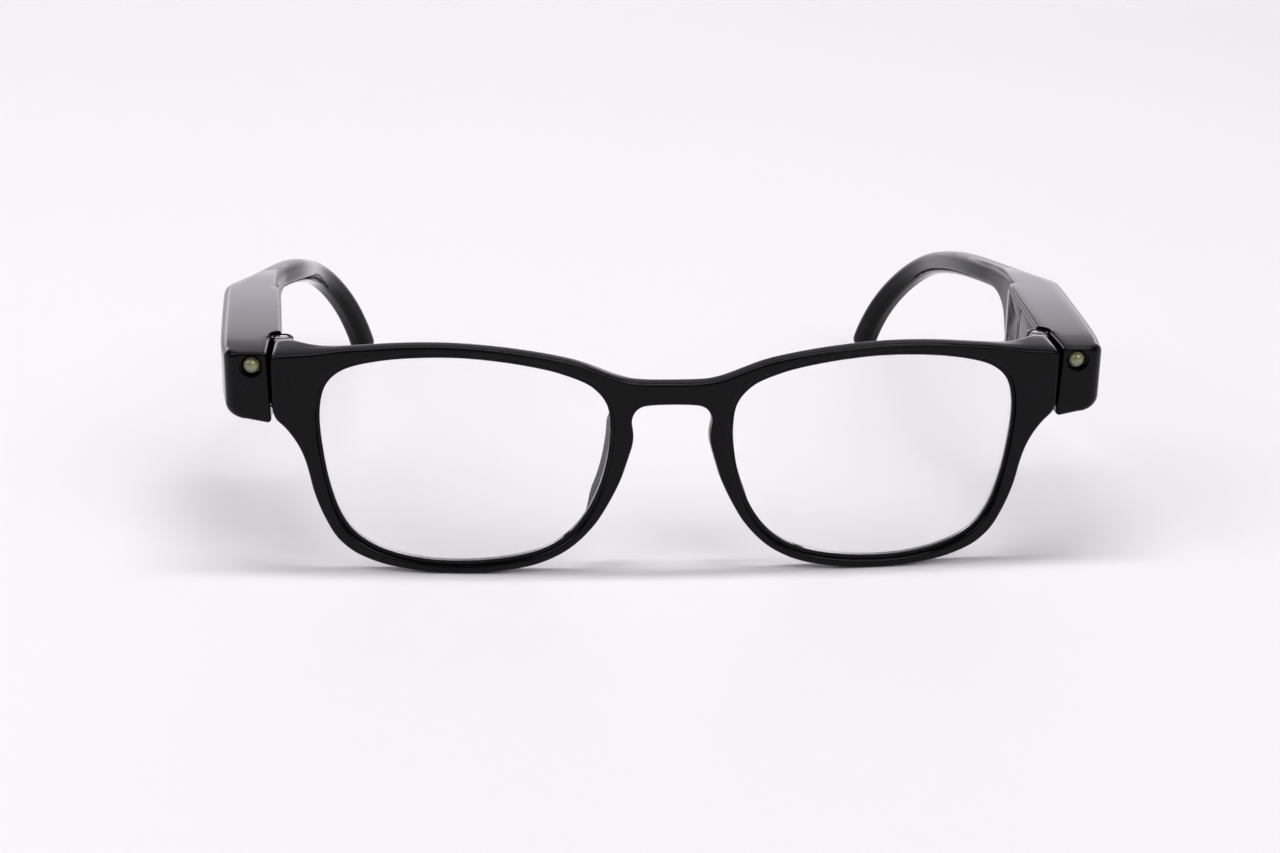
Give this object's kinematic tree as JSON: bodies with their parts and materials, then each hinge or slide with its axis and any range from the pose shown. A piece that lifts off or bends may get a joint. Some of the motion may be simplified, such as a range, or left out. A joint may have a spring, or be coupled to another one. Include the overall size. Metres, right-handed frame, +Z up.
{
  "type": "smart glasses",
  "caption": "Full-rim reading glasses with glossy black front and clear lenses; box-shaped temple fronts each hold a lamp, switch and battery bay, and the temples fold on hinges.",
  "frame": {"origin": "centre of the bounding box in plan, at the level of the surface on which the rims and the ear tips stand", "axes": "+Z up, the front faces -Y, the temples run back along +Y, +X is the wearer's left"},
  "size_m": [0.1508, 0.1332, 0.039],
  "materials": {
    "gloss_black": "polished injection-moulded black plastic",
    "gloss_black_cover": "polished black plastic cover",
    "clear_lens": "clear polished optical plastic",
    "steel_screw": "machined steel",
    "nickel_contact": "nickel-plated spring strip",
    "cell_can": "stamped steel can",
    "lamp_dome": "clear dome over yellow phosphor",
    "board": "solder-masked board",
    "switch_plastic": "moulded black",
    "button_plastic": "satin moulded cap"
  },
  "bodies": {
    "front": {"front_frame": "gloss_black", "lens_left": "clear_lens", "hinge_screw_left": "steel_screw", "lens_right": "clear_lens", "hinge_screw_right": "steel_screw"},
    "temple_left": {"temple_shell_left": "gloss_black", "inner_cover_left": "gloss_black_cover", "battery_door_left": "gloss_black_cover", "cover_screw_left": "steel_screw", "battery_door_screw_left": "steel_screw", "lamp_left": "lamp_dome", "circuit_board_left": "board", "switch_body_left": "switch_plastic", "coin_cell_inner_left": "cell_can", "coin_cell_outer_left": "cell_can", "contact_negative_left": "nickel_contact", "contact_positive_left": "nickel_contact"},
    "temple_right": {"temple_shell_right": "gloss_black", "inner_cover_right": "gloss_black_cover", "battery_door_right": "gloss_black_cover", "cover_screw_right": "steel_screw", "battery_door_screw_right": "steel_screw", "lamp_right": "lamp_dome", "circuit_board_right": "board", "switch_body_right": "switch_plastic", "coin_cell_inner_right": "cell_can", "coin_cell_outer_right": "cell_can", "contact_negative_right": "nickel_contact", "contact_positive_right": "nickel_contact"},
    "switch_left": {"switch_button_left": "button_plastic"},
    "switch_right": {"switch_button_right": "button_plastic"}
  },
  "joints": [
    {"name": "temple_left_fold", "type": "hinge", "parent": "front", "child": "temple_left", "pos_m": [0.063, -0.0523, 0], "axis": [0, 0, 1], "range_deg": [0, 86]},
    {"name": "temple_right_fold", "type": "hinge", "parent": "front", "child": "temple_right", "pos_m": [-0.063, -0.0523, 0], "axis": [0, 0, -1], "range_deg": [0, 72]},
    {"name": "switch_left_press", "type": "slide", "parent": "temple_left", "child": "switch_left", "axis": [0.9968, -0.0797, 0], "range_m": [0, 0.0004], "stiffness_N_per_m": 300},
    {"name": "switch_right_press", "type": "slide", "parent": "temple_right", "child": "switch_right", "axis": [-0.9968, -0.0797, 0], "range_m": [0, 0.0004], "stiffness_N_per_m": 300}
  ]
}
